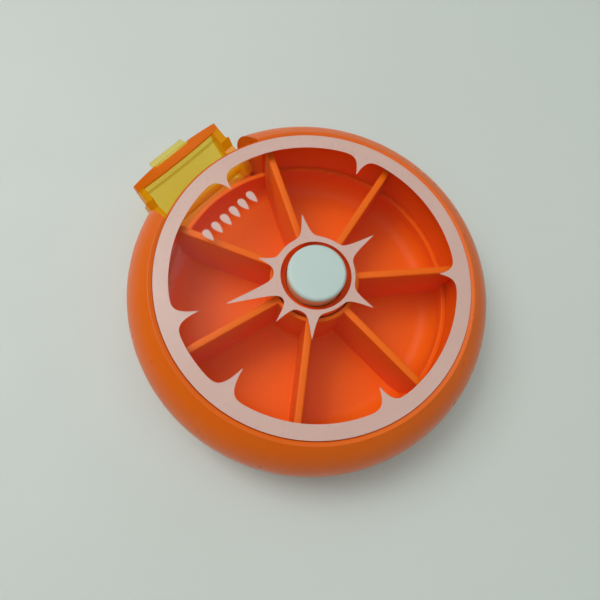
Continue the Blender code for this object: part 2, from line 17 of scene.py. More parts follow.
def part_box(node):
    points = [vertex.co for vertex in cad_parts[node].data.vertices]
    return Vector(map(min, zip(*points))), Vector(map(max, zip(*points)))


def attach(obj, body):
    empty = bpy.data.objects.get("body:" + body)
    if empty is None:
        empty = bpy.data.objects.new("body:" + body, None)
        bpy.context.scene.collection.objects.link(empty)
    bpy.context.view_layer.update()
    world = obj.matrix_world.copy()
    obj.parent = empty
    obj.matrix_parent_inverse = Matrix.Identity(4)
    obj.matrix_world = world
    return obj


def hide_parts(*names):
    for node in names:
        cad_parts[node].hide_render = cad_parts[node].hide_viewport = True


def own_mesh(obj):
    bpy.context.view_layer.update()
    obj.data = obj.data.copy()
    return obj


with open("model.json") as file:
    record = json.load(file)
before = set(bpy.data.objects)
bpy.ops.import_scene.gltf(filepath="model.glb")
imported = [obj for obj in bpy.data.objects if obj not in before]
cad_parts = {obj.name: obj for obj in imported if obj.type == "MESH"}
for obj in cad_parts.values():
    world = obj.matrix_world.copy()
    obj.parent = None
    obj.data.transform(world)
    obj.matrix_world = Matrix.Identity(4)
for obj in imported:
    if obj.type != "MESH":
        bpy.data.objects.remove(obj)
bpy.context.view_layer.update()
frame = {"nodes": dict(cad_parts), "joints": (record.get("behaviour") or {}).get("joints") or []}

MM = 0.001
GAP = 0.3


def low(node):
    """Returns a node's lowest corner in millimetres."""
    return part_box(node)[0] / MM


def high(node):
    """Returns a node's highest corner in millimetres."""
    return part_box(node)[1] / MM


# -------------------------------------------------- sizes read from the CAD nodes' boxes and joints
BODY_R = high("lower_shell").x
COVER_R = high("clear_cover").x
COVER_TOP = high("clear_cover").z
COVER_BOTTOM = low("clear_cover").z
RIM_TOP = high("upper_shell").z
WHEEL_R = high("pill_wheel").x
WHEEL_BOTTOM = low("pill_wheel").z
DIVIDER_TOP = high("pill_wheel").z
COLLAR_R = high("hub_cap").x
COLLAR_TOP = high("hub_cap").z
COLLAR_BOTTOM = low("hub_cap").z
BUTTON_TOP = high("push_button").z
BUTTON_BOTTOM = low("push_button").z
FLANGE_R = high("push_button").x
PLUNGER_TOP = high("plunger").z
SPRING_BOTTOM = low("return_spring").z
JOINTS = {joint["name"]: joint for joint in frame["joints"]}
PIVOT = Vector(JOINTS["door_swing"]["pos_m"]) / MM
DOOR_OPEN = math.radians(-JOINTS["door_swing"]["range_deg"][0])

# ----------------------------------------------------------------- sizes that follow the CAD design
SIDE_R = 12.5
SIDE_RING_R = BODY_R - SIDE_R
WALL = 1.6
INNER = SIDE_R - WALL
SEAM_Z = SIDE_R
SEAM_HALF_GAP = 0.05
SEAM_EDGE = 0.15
BOSS = (5.4, 6.4, 5.8)  # inner radius, outer radius and top of the ring that the wheel turns on
RAIL = (24.0, 25.2, 2.5)  # the same for the low ring that the wheel slides on
COVER_EDGE_R = COVER_R - 0.2
SEAT_R = COVER_EDGE_R + 0.06
INNER_WALL_R = WHEEL_R + 0.07
OUTER_WALL_R = INNER_WALL_R + 1.2
COVER_HOLE_R = 8.0
HUB_R = 10.4
HUB_BORE_R = COLLAR_R + GAP
BUTTON_R = 6.7
COMPARTMENTS = 7
PITCH = 2 * math.pi / COMPARTMENTS
WHEEL_THICK = 1.2
WHEEL_CORNER_R = 6.0
WHEEL_CORNER = (WHEEL_R - WHEEL_CORNER_R, WHEEL_BOTTOM + WHEEL_CORNER_R)
WHEEL_FLOOR = WHEEL_BOTTOM + WHEEL_THICK
WHEEL_LIP_Z = 10.6
DIVIDER_THICK = 1.7
WHEEL_STOP = math.radians(-1.5)
NOTCH_HALF = 14.9
OUTLET_TOP = 20.75
SWING_R = 6.8
PIN_R = 0.8
DOOR_HALF = 14.1
DOOR_TIP_HALF = 13.4
DOOR_CHEEK = 1.8
DOOR_STEP_Z = 17.5
DOOR_CORNER_Z = 22.6
DOOR_CROWN = 1.3
DOOR_RIM_Z = 21.1
DOOR_PANEL = 1.3
DOOR_CREASE = 0.4
CREASE_TOP_DEG = 42
CREASE_LOW_DEG = 39
BARREL_R = 1.3
HOLLOW_HALF = DOOR_TIP_HALF - DOOR_CHEEK
TAB_HALF = 5.4
TAB_FOOT_Z = 23.2

ROUND_STEPS = 192
ARC_PARTS = 24


# ----------------------------------------------------------------------------------- shape helpers
def arc(centre_r, centre_z, radius, start_deg, end_deg, parts=ARC_PARTS):
    """Returns points on an arc, both ends included."""
    points = []
    for i in range(parts + 1):
        angle = math.radians(start_deg + (end_deg - start_deg) * i / parts)
        points.append((centre_r + radius * math.cos(angle), centre_z + radius * math.sin(angle)))
    return points


def side(radius, start_deg, end_deg, parts=ARC_PARTS):
    """Returns points on the case's half-round side, or on a line inside it."""
    return arc(SIDE_RING_R, SIDE_R, radius, start_deg, end_deg, parts)


def clockwise(points):
    """Orders an outline so that its outer side runs down."""
    area = 0.0
    for (x0, z0), (x1, z1) in zip(points, points[1:] + points[:1]):
        area += x0 * z1 - x1 * z0
    return points if area < 0 else points[::-1]


def place(name, mesh):
    """Puts a mesh in the scene as one object."""
    made = bpy.data.objects.new(name, mesh)
    bpy.context.scene.collection.objects.link(made)
    return made


def from_bmesh(name, shape):
    """Turns a bmesh into an object."""
    mesh = bpy.data.meshes.new(name)
    shape.to_mesh(mesh)
    shape.free()
    return place(name, mesh)


def evaluated(source):
    """Replaces an object that has modifiers by a plain mesh object of the same name."""
    bpy.context.view_layer.update()
    depsgraph = bpy.context.evaluated_depsgraph_get()
    mesh = bpy.data.meshes.new_from_object(source.evaluated_get(depsgraph))
    name, matrix = source.name, source.matrix_world.copy()
    bpy.data.objects.remove(source)
    made = place(name, mesh)
    made.matrix_world = matrix
    return made


def turned(name, points, steps=ROUND_STEPS, on_axis=False):
    """Turns an outline of (radius, height) points about Z.

    An outline with two points on the axis is left open there, so it has to start and end on it.
    """
    outline = clockwise(points)
    if on_axis and outline[0][0] > 0:
        first = next(i for i, p in enumerate(outline) if p[0] == 0 and outline[i - 1][0] == 0)
        outline = outline[first:] + outline[:first]
    mesh = bpy.data.meshes.new(name)
    verts = [(r * MM, 0.0, z * MM) for r, z in outline]
    edges = [(i, i + 1) for i in range(len(verts) - 1)]
    if not on_axis:
        edges.append((len(verts) - 1, 0))
    mesh.from_pydata(verts, edges, [])
    made = place(name, mesh)
    screw = made.modifiers.new("turn", "SCREW")
    screw.steps = steps
    screw.render_steps = steps
    screw.use_merge_vertices = True
    screw.merge_threshold = 0.002 * MM
    return evaluated(made)


def block(name, first, second):
    """Makes a box between two corners."""
    shape = bmesh.new()
    bmesh.ops.create_cube(shape, size=1.0)
    first, second = Vector(first) * MM, Vector(second) * MM
    bmesh.ops.scale(shape, vec=second - first, verts=shape.verts)
    bmesh.ops.translate(shape, vec=(first + second) / 2, verts=shape.verts)
    return from_bmesh(name, shape)


def door_side_slab(name, first_x, second_x):
    """Makes a tall box through the door's side of the case, between two places along X."""
    return block(name, (first_x, -61, -2), (second_x, -20, 32))


def hinge_rods(name, radius, spans, sides=48):
    """Makes rods along X on the door's hinge line, one for each (start, end) span."""
    shape = bmesh.new()
    for start, end in spans:
        middle = Matrix.Translation(((start + end) / 2 * MM, PIVOT.y * MM, PIVOT.z * MM))
        lay = Matrix.Rotation(math.pi / 2, 4, "Y")
        bmesh.ops.create_cone(shape, cap_ends=True, segments=sides, radius1=radius * MM,
                              radius2=radius * MM, depth=(end - start) * MM, matrix=middle @ lay)
    return from_bmesh(name, shape)


def plate(name, outline, thickness, edge=0.0):
    """Makes a flat plate from an outline of (x, z) points, standing in the XZ plane."""
    shape = bmesh.new()
    verts = [shape.verts.new((x * MM, -thickness * MM / 2, z * MM)) for x, z in outline]
    face = shape.faces.new(verts)
    grown = bmesh.ops.extrude_face_region(shape, geom=[face])["geom"]
    moved = [g for g in grown if isinstance(g, bmesh.types.BMVert)]
    bmesh.ops.translate(shape, vec=(0.0, thickness * MM, 0.0), verts=moved)
    bmesh.ops.recalc_face_normals(shape, faces=shape.faces)
    if edge:
        bmesh.ops.bevel(shape, geom=shape.edges[:], offset=edge * MM, segments=3, profile=0.5,
                        affect="EDGES", clamp_overlap=True)
    return from_bmesh(name, shape)


def boolean(target, other, operation):
    """Cuts, joins or keeps with another object, at once, and removes that object."""
    step = target.modifiers.new(operation.lower(), "BOOLEAN")
    step.operation = operation
    step.solver = "EXACT"
    step.object = other
    made = evaluated(target)
    bpy.data.objects.remove(other)
    return made


def cut(target, other):
    """Takes the other object's space away."""
    return boolean(target, other, "DIFFERENCE")


def join(target, other):
    """Makes one solid of two."""
    return boolean(target, other, "UNION")


def keep(target, other):
    """Keeps what is inside the other object too."""
    return boolean(target, other, "INTERSECT")


def smooth(piece, angle_deg=32):
    """Shades a piece smooth, with its real corners kept sharp."""
    piece.data.shade_smooth()
    piece.data.set_sharp_from_angle(angle=math.radians(angle_deg))
    return piece


def finish_piece(piece, body, materials, slot, *nodes):
    """Gives a finished piece its materials and body, and hides the CAD nodes it stands for; the
    slot argument is not used.
    """
    piece.data.materials.clear()
    for material in materials:
        piece.data.materials.append(material)
    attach(piece, body)
    if nodes:
        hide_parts(*nodes)
    return piece


# --------------------------------------------------------------------------------------- materials
def srgb(red, green, blue):
    """Returns a linear colour from 0-255 screen values."""
    def linear(value):
        value = value / 255
        return value / 12.92 if value <= 0.04045 else ((value + 0.055) / 1.055) ** 2.4
    return (linear(red), linear(green), linear(blue), 1.0)


def new_material(name):
    """Returns a material, its node maker, its linker and its Principled shader."""
    made = bpy.data.materials.new(name)
    made.use_nodes = True
    tree = made.node_tree
    return made, tree.nodes, tree.links, tree.nodes["Principled BSDF"]


def noise(nodes, links, scale, detail=3.0):
    """Adds a noise that follows the piece itself."""
    place_node = nodes.new("ShaderNodeTexCoord")
    made = nodes.new("ShaderNodeTexNoise")
    made.inputs["Scale"].default_value = scale
    made.inputs["Detail"].default_value = detail
    links.new(place_node.outputs["Object"], made.inputs["Vector"])
    return made


def vary_colour(nodes, links, shader, dark, light, scale):
    """Drives the base colour with a soft noise between two colours."""
    cloud = noise(nodes, links, scale)
    ramp = nodes.new("ShaderNodeValToRGB")
    ramp.color_ramp.elements[0].position = 0.3
    ramp.color_ramp.elements[0].color = dark
    ramp.color_ramp.elements[1].position = 0.7
    ramp.color_ramp.elements[1].color = light
    links.new(cloud.outputs["Fac"], ramp.inputs["Fac"])
    links.new(ramp.outputs["Color"], shader.inputs["Base Color"])


def vary_roughness(nodes, links, shader, smoothest, roughest, scale):
    """Drives the roughness with a fine noise."""
    grain = noise(nodes, links, scale, 4.0)
    spread = nodes.new("ShaderNodeMapRange")
    spread.inputs["From Min"].default_value = 0.3
    spread.inputs["From Max"].default_value = 0.7
    spread.inputs["To Min"].default_value = smoothest
    spread.inputs["To Max"].default_value = roughest
    links.new(grain.outputs["Fac"], spread.inputs["Value"])
    links.new(spread.outputs["Result"], shader.inputs["Roughness"])


def add_bump(nodes, links, shader, scale, height, detail=2.0):
    """Adds a fine surface texture of a given height in millimetres."""
    grain = noise(nodes, links, scale, detail)
    bump = nodes.new("ShaderNodeBump")
    bump.inputs["Distance"].default_value = height * MM
    links.new(grain.outputs["Fac"], bump.inputs["Height"])
    links.new(bump.outputs["Normal"], shader.inputs["Normal"])


def moulded(name, dark, light, roughness, specular=0.5):
    """A moulded plastic: slight colour flow, uneven gloss and a fine skin texture."""
    made, nodes, links, shader = new_material(name)
    vary_colour(nodes, links, shader, dark, light, scale=45.0)
    vary_roughness(nodes, links, shader, roughness - 0.03, roughness + 0.04, scale=260.0)
    add_bump(nodes, links, shader, scale=420.0, height=0.0007)
    shader.inputs["IOR"].default_value = 1.49
    shader.inputs["Specular IOR Level"].default_value = specular
    return made


def button_white():
    """The button's white, with painted orange bounce light low on its side, where the orange collar
    shines into it.
    """
    made = moulded("white_plastic", srgb(196, 212, 210), srgb(201, 216, 214), 0.34, specular=0.4)
    nodes, links = made.node_tree.nodes, made.node_tree.links
    shader = nodes["Principled BSDF"]
    white = shader.inputs["Base Color"].links[0].from_socket
    where = nodes.new("ShaderNodeTexCoord")
    split = nodes.new("ShaderNodeSeparateXYZ")
    height = nodes.new("ShaderNodeMapRange")
    height.interpolation_type = "SMOOTHSTEP"
    height.inputs["From Min"].default_value = (BUTTON_TOP - 0.35) * MM
    height.inputs["From Max"].default_value = (BUTTON_TOP - 1.7) * MM
    # painted bounce light: an orange mixed into the white towards the bottom of the button's side
    painted_bounce = nodes.new("ShaderNodeMix")
    painted_bounce.data_type = "RGBA"
    painted_bounce.inputs["B"].default_value = srgb(252, 186, 136)
    links.new(where.outputs["Object"], split.inputs["Vector"])
    links.new(split.outputs["Z"], height.inputs["Value"])
    links.new(height.outputs["Result"], painted_bounce.inputs["Factor"])
    links.new(white, painted_bounce.inputs["A"])
    links.new(painted_bounce.outputs["Result"], shader.inputs["Base Color"])
    return made


def clear_plastic():
    """The cover: clear and polished, mirroring more at a glance than from straight above."""
    made, nodes, links, shader = new_material("clear_plastic")
    vary_colour(nodes, links, shader, srgb(246, 246, 246), srgb(255, 255, 255), scale=30.0)
    vary_roughness(nodes, links, shader, 0.02, 0.07, scale=90.0)
    shader.inputs["Metallic"].default_value = 1.0
    facing = nodes.new("ShaderNodeLayerWeight")
    glance = nodes.new("ShaderNodeMath")
    glance.operation = "POWER"
    glance.inputs[1].default_value = 5.0
    mirrored = nodes.new("ShaderNodeMapRange")
    mirrored.inputs["To Min"].default_value = 0.004
    clear = nodes.new("ShaderNodeBsdfTransparent")
    clear.inputs["Color"].default_value = (0.985, 0.98, 0.975, 1.0)
    mix = nodes.new("ShaderNodeMixShader")
    links.new(facing.outputs["Facing"], glance.inputs[0])
    links.new(glance.outputs["Value"], mirrored.inputs["Value"])
    links.new(mirrored.outputs["Result"], mix.inputs["Fac"])
    links.new(clear.outputs["BSDF"], mix.inputs[1])
    links.new(shader.outputs["BSDF"], mix.inputs[2])
    links.new(mix.outputs["Shader"], nodes["Material Output"].inputs["Surface"])
    return made


def amber(name, dark, light, tint, body_share):
    """Amber plastic of one depth: it tints what is behind it, and glows a little itself."""
    made, nodes, links, shader = new_material(name)
    vary_colour(nodes, links, shader, dark, light, scale=90.0)
    vary_roughness(nodes, links, shader, 0.08, 0.16, scale=400.0)
    add_bump(nodes, links, shader, scale=350.0, height=0.006)
    shader.inputs["Specular IOR Level"].default_value = 0.3
    clear = nodes.new("ShaderNodeBsdfTransparent")
    clear.inputs["Color"].default_value = tint
    mix = nodes.new("ShaderNodeMixShader")
    mix.inputs["Fac"].default_value = body_share
    links.new(clear.outputs["BSDF"], mix.inputs[1])
    links.new(shader.outputs["BSDF"], mix.inputs[2])
    links.new(mix.outputs["Shader"], nodes["Material Output"].inputs["Surface"])
    return made


def printed_ink():
    """The pith print: a slightly pink white ink, thin enough to let a little orange through."""
    made, nodes, links, shader = new_material("printed_ink")
    vary_colour(nodes, links, shader, srgb(223, 180, 170), srgb(227, 186, 177), scale=60.0)
    vary_roughness(nodes, links, shader, 0.26, 0.36, scale=600.0)
    add_bump(nodes, links, shader, 700.0, 0.0006)
    shader.inputs["Alpha"].default_value = 0.92
    return made


def steel():
    """Bright spring steel, unevenly drawn."""
    made, nodes, links, shader = new_material("spring_steel")
    vary_colour(nodes, links, shader, srgb(165, 165, 168), srgb(198, 198, 202), scale=300.0)
    vary_roughness(nodes, links, shader, 0.18, 0.34, scale=1500.0)
    shader.inputs["Metallic"].default_value = 1.0
    return made


def table_top():
    """The pale table: smooth laminate with a soft mottle."""
    made, nodes, links, shader = new_material("pale_table")
    vary_colour(nodes, links, shader, srgb(212, 217, 214), srgb(216, 220, 218), scale=9.0)
    vary_roughness(nodes, links, shader, 0.50, 0.60, scale=60.0)
    add_bump(nodes, links, shader, scale=700.0, height=0.004)
    shader.inputs["Specular IOR Level"].default_value = 0.3
    return made


SHELL_ORANGE = moulded("shell_orange", srgb(230, 98, 1), srgb(235, 103, 2), 0.30, specular=0.28)
WHEEL_ORANGE = moulded("wheel_orange", srgb(254, 108, 2), srgb(255, 114, 3), 0.36, specular=0.15)
# The collar's orange is the wheel's orange made darker and redder: painted shade for where it sits
# under the cover and the star print.
SHADED_COLLAR_ORANGE = moulded("collar_painted_shade_orange", srgb(240, 74, 1), srgb(245, 80, 2), 0.36, specular=0.15)
WHITE = button_white()
ACETAL = moulded("acetal", srgb(222, 221, 214), srgb(230, 229, 223), 0.38)
CLEAR = clear_plastic()
AMBER_PANEL = amber("amber_panel", srgb(254, 220, 66), srgb(255, 228, 76),
                    (1.0, 0.92, 0.38, 1.0), 0.15)
AMBER_CREASE = amber("amber_crease", srgb(214, 164, 16), srgb(220, 170, 20),
                     (0.86, 0.72, 0.16, 1.0), 0.24)
AMBER_EDGE = amber("amber_edge", srgb(250, 128, 0), srgb(254, 134, 1),
                   (1.0, 0.42, 0.005, 1.0), 0.66)
AMBER_CHEEK = amber("amber_cheek", srgb(252, 172, 0), srgb(255, 180, 2),
                    (1.0, 0.68, 0.02, 1.0), 0.42)
AMBER_THIN = amber("amber_thin", srgb(226, 208, 104), srgb(232, 214, 114),
                   (1.0, 0.94, 0.55, 1.0), 0.22)
INK = printed_ink()
STEEL = steel()
TABLE = table_top()


# ------------------------------------------------------------------------------------- case pieces
def standing_ring(inner_r, outer_r, top_z):
    """Returns the outline of a ring on the case's floor, from its outer foot to its inner one."""
    return [(outer_r, WALL), (outer_r, top_z), (inner_r, top_z), (inner_r, WALL)]


def lower_shell():
    """The bowl: floor, lower half of the round side, the wheel's rail and its bearing boss."""
    seam = SEAM_Z - SEAM_HALF_GAP
    outline = [(0.0, 0.0), (SIDE_RING_R, 0.0)]
    outline += side(SIDE_R, -87, -2, 34)
    outline += arc(BODY_R - SEAM_EDGE, seam - SEAM_EDGE, SEAM_EDGE, 0, 90, 4)
    outline += [(BODY_R - WALL, seam)]
    outline += side(INNER, -3, -87, 20)
    outline += [(SIDE_RING_R, WALL)]
    outline += standing_ring(*RAIL) + standing_ring(*BOSS) + [(0.0, WALL)]
    shell = turned("lower_shell_skin", outline, on_axis=True)
    shell = cut(shell, hinge_rods("swing", SWING_R, [(-NOTCH_HALF, NOTCH_HALF)], 96))
    smooth(shell)
    return finish_piece(shell, "case", [SHELL_ORANGE], "shell_orange", "lower_shell")


def centre_post():
    """The hexagonal post that keeps the plunger from turning."""
    shape = bmesh.new()
    sunk, clear, edge = 0.4, 0.35, 0.15
    bottom, top = WALL - sunk, SPRING_BOTTOM - clear
    radius = 2.54 * MM
    middle = Matrix.Translation((0.0, 0.0, (bottom + top) / 2 * MM))
    bmesh.ops.create_cone(shape, cap_ends=True, segments=6, radius1=radius, radius2=radius,
                          depth=(top - bottom) * MM, matrix=middle)
    bmesh.ops.bevel(shape, geom=shape.edges[:], offset=edge * MM, segments=2, profile=0.5,
                    affect="EDGES")
    post = smooth(from_bmesh("centre_post", shape))
    return finish_piece(post, "case", [SHELL_ORANGE], "shell_orange")


def hinge_web(name, facing):
    """Makes the upright plate beside the door that holds one of its pins."""
    root_r, top_z, foot_z = INNER_WALL_R + 0.4, 19.5, 6.6
    outline = [(root_r, top_z), (root_r, foot_z)]
    outline += side(INNER - 0.7, -33, -4, 8)
    outline += side(INNER + 0.6, 12, 40, 8)
    web = turned(name, outline, steps=180)
    first_x, second_x = sorted((facing * (NOTCH_HALF - 0.5), facing * (NOTCH_HALF + 1.3)))
    return keep(web, door_side_slab(name + "_slab", first_x, second_x))


def upper_shell():
    """The rim: upper half of the round side, cover seat, wall round the wheel and door notch.

    The wall round the wheel is seen through the cover and has the wheel's brighter orange.
    """
    seam = SEAM_Z + SEAM_HALF_GAP
    edge = SEAM_EDGE
    seat_z = COVER_BOTTOM - GAP
    brim_r, brim_round, brim_rise = SEAT_R + 0.95, 0.25, 0.22
    lip_out_r, lip_in_r, lip_low_z, lip_high_z = BODY_R - 2.1, BODY_R - 3.1, 10.9, 13.0
    wall_foot_z, wall_join_z = 3.9, 20.9
    outline = arc(SEAT_R + edge, RIM_TOP - brim_rise - edge, edge, 180, 105, 4)
    outline += arc(brim_r, RIM_TOP - brim_round, brim_round, 105, 58, 8)
    outline += side(SIDE_R, 56, 2, 34)
    outline += arc(BODY_R - edge, seam + edge, edge, 0, -90, 4)
    outline += [(lip_out_r, seam), (lip_out_r, lip_low_z), (lip_in_r, lip_low_z)]
    outline += [(lip_in_r, lip_high_z)] + side(INNER, 9, 51, 16)
    outline += [(OUTER_WALL_R, wall_join_z), (OUTER_WALL_R, wall_foot_z)]
    outline += [(INNER_WALL_R, wall_foot_z)]
    outline += [(INNER_WALL_R, seat_z), (SEAT_R, seat_z)]
    shell = turned("upper_shell_skin", outline)
    for facing, name in ((-1, "web_left"), (1, "web_right")):
        shell = join(shell, hinge_web(name, facing))
    bridge_r = OUTER_WALL_R + 0.07
    notch = turned("door_notch", [(30, -1), (60, -1), (60, 31), (bridge_r, 31),
                                  (bridge_r, OUTLET_TOP), (30, OUTLET_TOP)])
    notch = keep(notch, door_side_slab("notch_width", -NOTCH_HALF, NOTCH_HALF))
    shell = cut(shell, notch)
    spans = [(-NOTCH_HALF - 2.0, -NOTCH_HALF + 0.6), (NOTCH_HALF - 0.6, NOTCH_HALF + 2.0)]
    shell = cut(shell, hinge_rods("pin_holes", PIN_R + 0.2, spans))
    smooth(shell)
    finish_piece(shell, "case", [SHELL_ORANGE, WHEEL_ORANGE], "shell_orange", "upper_shell")
    for face in shell.data.polygons:
        radius = math.hypot(face.center.x, face.center.y) / MM
        if radius < SEAT_R - 0.1 and face.center.z / MM < seat_z + 0.1:
            face.material_index = 1
    return shell


def clear_cover():
    """The clear disc let into the rim, with softly broken edges."""
    edge = 0.12
    outline = arc(COVER_EDGE_R - edge, COVER_TOP - edge, edge, 0, 90, 6)
    outline += arc(COVER_HOLE_R + edge, COVER_TOP - edge, edge, 90, 180, 6)
    outline += [(COVER_HOLE_R, COVER_BOTTOM), (COVER_EDGE_R, COVER_BOTTOM)]
    cover = smooth(turned("cover_disc", outline))
    return finish_piece(cover, "case", [CLEAR], "clear_plastic", "clear_cover")


# ------------------------------------------------------------------------------------ wheel pieces
def divider_angle(i):
    """Returns the angle of one of the wheel's dividers."""
    return -math.pi / 2 + WHEEL_STOP + (i + 0.5) * PITCH


def dividers():
    """Makes the seven upright walls, each rounded at the bottom like the wheel's rim."""
    sunk, edge, top_corner = WHEEL_THICK / 2, 0.3, 0.5
    corner_r, corner_z = WHEEL_CORNER
    end_r = WHEEL_R - sunk
    outline = [(HUB_R - sunk, WHEEL_FLOOR - sunk), (corner_r, WHEEL_FLOOR - sunk)]
    outline += arc(corner_r, corner_z, WHEEL_CORNER_R - sunk, -80, 0, 10)
    outline += [(end_r, DIVIDER_TOP - top_corner), (end_r - top_corner, DIVIDER_TOP)]
    outline += [(HUB_R - sunk, DIVIDER_TOP)]
    wall = plate("divider", outline, DIVIDER_THICK, edge)
    shape = bmesh.new()
    for i in range(COMPARTMENTS):
        start = len(shape.verts)
        shape.from_mesh(wall.data)
        shape.verts.ensure_lookup_table()
        spin = Matrix.Rotation(divider_angle(i), 4, "Z")
        bmesh.ops.transform(shape, matrix=spin, verts=shape.verts[start:])
    bpy.data.objects.remove(wall)
    return from_bmesh("dividers", shape)


def pill_wheel():
    """The seven-compartment wheel with its hub."""
    bore, shelf_r, shelf_low_z, shelf_z = 6.7, 5.2, 6.8, 8.3
    edge, lip_edge, fillet = 0.3, 0.12, 1.2
    corner_r, corner_z = WHEEL_CORNER
    outline = [(bore, WHEEL_BOTTOM), (corner_r, WHEEL_BOTTOM)]
    outline += arc(corner_r, corner_z, WHEEL_CORNER_R, -84, 0, 14)
    outline += arc(WHEEL_R - lip_edge, WHEEL_LIP_Z - lip_edge, lip_edge, 0, 90, 4)
    outline += arc(WHEEL_R - WHEEL_THICK + edge, WHEEL_LIP_Z - edge, edge, 90, 180, 4)
    outline += arc(corner_r, corner_z, WHEEL_CORNER_R - WHEEL_THICK, 0, -84, 14)
    outline += [(corner_r, WHEEL_FLOOR)]
    outline += arc(HUB_R + fillet, WHEEL_FLOOR + fillet, fillet, -90, -180, 8)
    outline += arc(HUB_R - edge, DIVIDER_TOP - edge, edge, 0, 90, 5)
    outline += arc(HUB_BORE_R + edge, DIVIDER_TOP - edge, edge, 90, 180, 5)
    outline += [(HUB_BORE_R, shelf_z), (shelf_r, shelf_z), (shelf_r, shelf_low_z)]
    outline += [(bore, shelf_low_z)]
    wheel = turned("compartment_wheel", outline)
    wheel = smooth(join(wheel, dividers()), 28)
    return finish_piece(wheel, "wheel", [WHEEL_ORANGE], "wheel_orange", "pill_wheel")


def hub_cap():
    """The orange collar pressed into the hub round the button."""
    mouth, shelf_z, edge = BUTTON_R + 0.12, 20.4, 0.3
    skirt_r = COLLAR_R - 1.0
    outline = [(COLLAR_R, COLLAR_BOTTOM)]
    outline += arc(COLLAR_R - edge, COLLAR_TOP - edge, edge, 0, 90, 5)
    outline += arc(mouth + edge, COLLAR_TOP - edge, edge, 90, 180, 5)
    outline += [(mouth, shelf_z), (skirt_r, shelf_z), (skirt_r, COLLAR_BOTTOM)]
    cap = smooth(turned("hub_collar", outline))
    # the collar's material is the wheel's orange darkened with painted shade
    return finish_piece(cap, "wheel", [SHADED_COLLAR_ORANGE], "wheel_orange", "hub_cap")


def push_button():
    """The white cap: a barely domed top with a full rounded edge."""
    edge, crown, ceiling, inner = 0.8, 0.1, PLUNGER_TOP + GAP, 5.4
    flange_top, neck_r = BUTTON_BOTTOM + 1.0, BUTTON_R - 0.15
    outline = [(0.0, ceiling), (inner, ceiling), (inner, BUTTON_BOTTOM), (FLANGE_R, BUTTON_BOTTOM)]
    outline += [(FLANGE_R, flange_top), (neck_r, flange_top)]
    outline += arc(BUTTON_R - edge, BUTTON_TOP - crown - edge, edge, 0, 86, 12)
    dome_parts = 8
    for i in range(1, dome_parts + 1):
        share = 1 - i / dome_parts
        outline.append(((BUTTON_R - edge) * share, BUTTON_TOP - crown * share ** 2))
    button = smooth(turned("button_cap", outline, on_axis=True))
    return finish_piece(button, "button", [WHITE], "white_plastic", "push_button")


# -------------------------------------------------------------------------------------------- door
def door_outline():
    """Makes the door's front view, as a thick plate that the door is kept inside."""
    bottom_z, shoulder_z, parts = 7.2, DOOR_STEP_Z + 0.6, 24
    depth, middle_y = 30, -40
    outline = [(-DOOR_HALF, bottom_z), (DOOR_HALF, bottom_z), (DOOR_HALF, DOOR_STEP_Z)]
    outline += [(DOOR_TIP_HALF, shoulder_z)]
    for i in range(parts + 1):
        x = DOOR_TIP_HALF * (1 - 2 * i / parts)
        outline.append((x, DOOR_CORNER_Z + DOOR_CROWN * (1 - (x / DOOR_TIP_HALF) ** 2)))
    outline += [(-DOOR_TIP_HALF, shoulder_z), (-DOOR_HALF, DOOR_STEP_Z)]
    view = plate("door_outline", outline, depth)
    view.location.y = middle_y * MM
    return view


def door_stock():
    """Returns the outline of the whole door in section: its inner side, heel and round outside."""
    outline = [(37.8, 25.0), (37.8, 17.6), (39.6, 15.6), (38.3, 12.2), (37.9, 10.3), (38.4, 8.6)]
    outline += [(39.6, 7.4), (40.6, 5.0)]
    outline += side(SIDE_R, -37, 51, 40)
    outline += [(39.3, 22.3), (39.4, 25.0)]
    return outline


def door_hollow():
    """Returns the outline of the space inside the bucket, with a crease across the panel."""
    panel = SIDE_R - DOOR_PANEL
    outline = [(30.0, DOOR_RIM_Z + 0.1), (38.2, DOOR_RIM_Z)]
    outline += side(panel, 48, CREASE_TOP_DEG, 6)
    outline += side(panel - DOOR_CREASE, CREASE_LOW_DEG, -42, 32)
    outline += [(30.0, 4.0)]
    return outline


def door_tab():
    """Makes the small finger tab at the middle of the door's free edge."""
    length, inside, thick, edge, tilt_deg = 2.6, 1.6, 0.9, 0.15, -47
    tab = block("tab", (-TAB_HALF, -inside, -thick / 2), (TAB_HALF, length - inside, thick / 2))
    shape = bmesh.new()
    shape.from_mesh(tab.data)
    bmesh.ops.bevel(shape, geom=shape.edges[:], offset=edge * MM, segments=3, profile=0.5,
                    affect="EDGES")
    shape.to_mesh(tab.data)
    shape.free()
    tab.rotation_euler.x = math.radians(tilt_deg)
    tab.location = Vector((0.0, -40.2, 24.2)) * MM
    return tab


